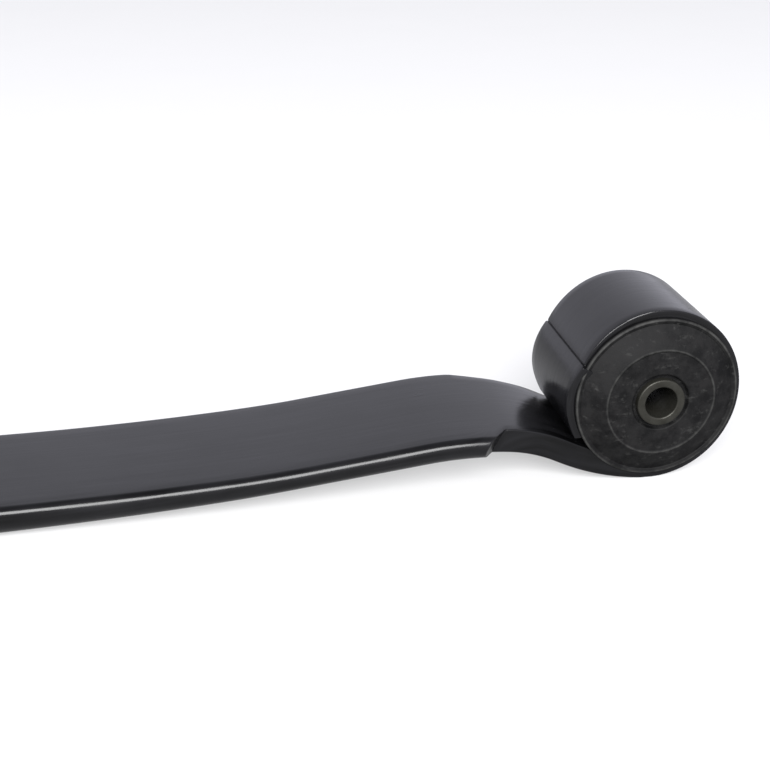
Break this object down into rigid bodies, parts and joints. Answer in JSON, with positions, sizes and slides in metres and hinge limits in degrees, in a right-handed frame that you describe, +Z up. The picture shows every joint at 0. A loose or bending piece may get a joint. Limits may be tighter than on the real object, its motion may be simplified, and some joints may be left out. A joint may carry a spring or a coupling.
{
  "type": "leaf spring",
  "caption": "Single tapered leaf spring with a rolled eye at each end, a pressed-in flanged rubber bush with a steel inner sleeve in each eye, and a flat axle seat with a centre bolt hole.",
  "frame": {"origin": "centre of the axle seat on the leaf's upper face, on the axis of the centre bolt hole", "axes": "+X along the spring towards the front eye, +Y across the bar along the eye bolts' axes, +Z up"},
  "size_m": [0.9464, 0.083, 0.0892],
  "materials": {
    "spring_paint": "semi-gloss black paint with fine lengthwise streaks",
    "bush_rubber": "moulded rubber, matt with light scuffs",
    "sleeve_steel": "bare turned steel tube, dull",
    "can_steel": "bare pressed steel, hidden in the eye"
  },
  "bodies": {
    "leaf": {"leaf": "spring_paint", "front_left_outer_can": "can_steel", "front_left_rubber": "bush_rubber", "front_right_outer_can": "can_steel", "front_right_rubber": "bush_rubber", "rear_left_outer_can": "can_steel", "rear_left_rubber": "bush_rubber", "rear_right_outer_can": "can_steel", "rear_right_rubber": "bush_rubber"},
    "front_sleeve": {"front_inner_sleeve": "sleeve_steel"},
    "rear_sleeve": {"rear_inner_sleeve": "sleeve_steel"}
  },
  "joints": [
    {"name": "front_sleeve_turn", "type": "hinge", "parent": "leaf", "child": "front_sleeve", "pos_m": [0.43, 0, 0.0271], "axis": [0, 1, 0], "range_deg": [-20, 20], "stiffness_Nm_per_rad": 100},
    {"name": "rear_sleeve_turn", "type": "hinge", "parent": "leaf", "child": "rear_sleeve", "pos_m": [-0.43, 0, 0.0271], "axis": [0, 1, 0], "range_deg": [-20, 20], "stiffness_Nm_per_rad": 100}
  ]
}
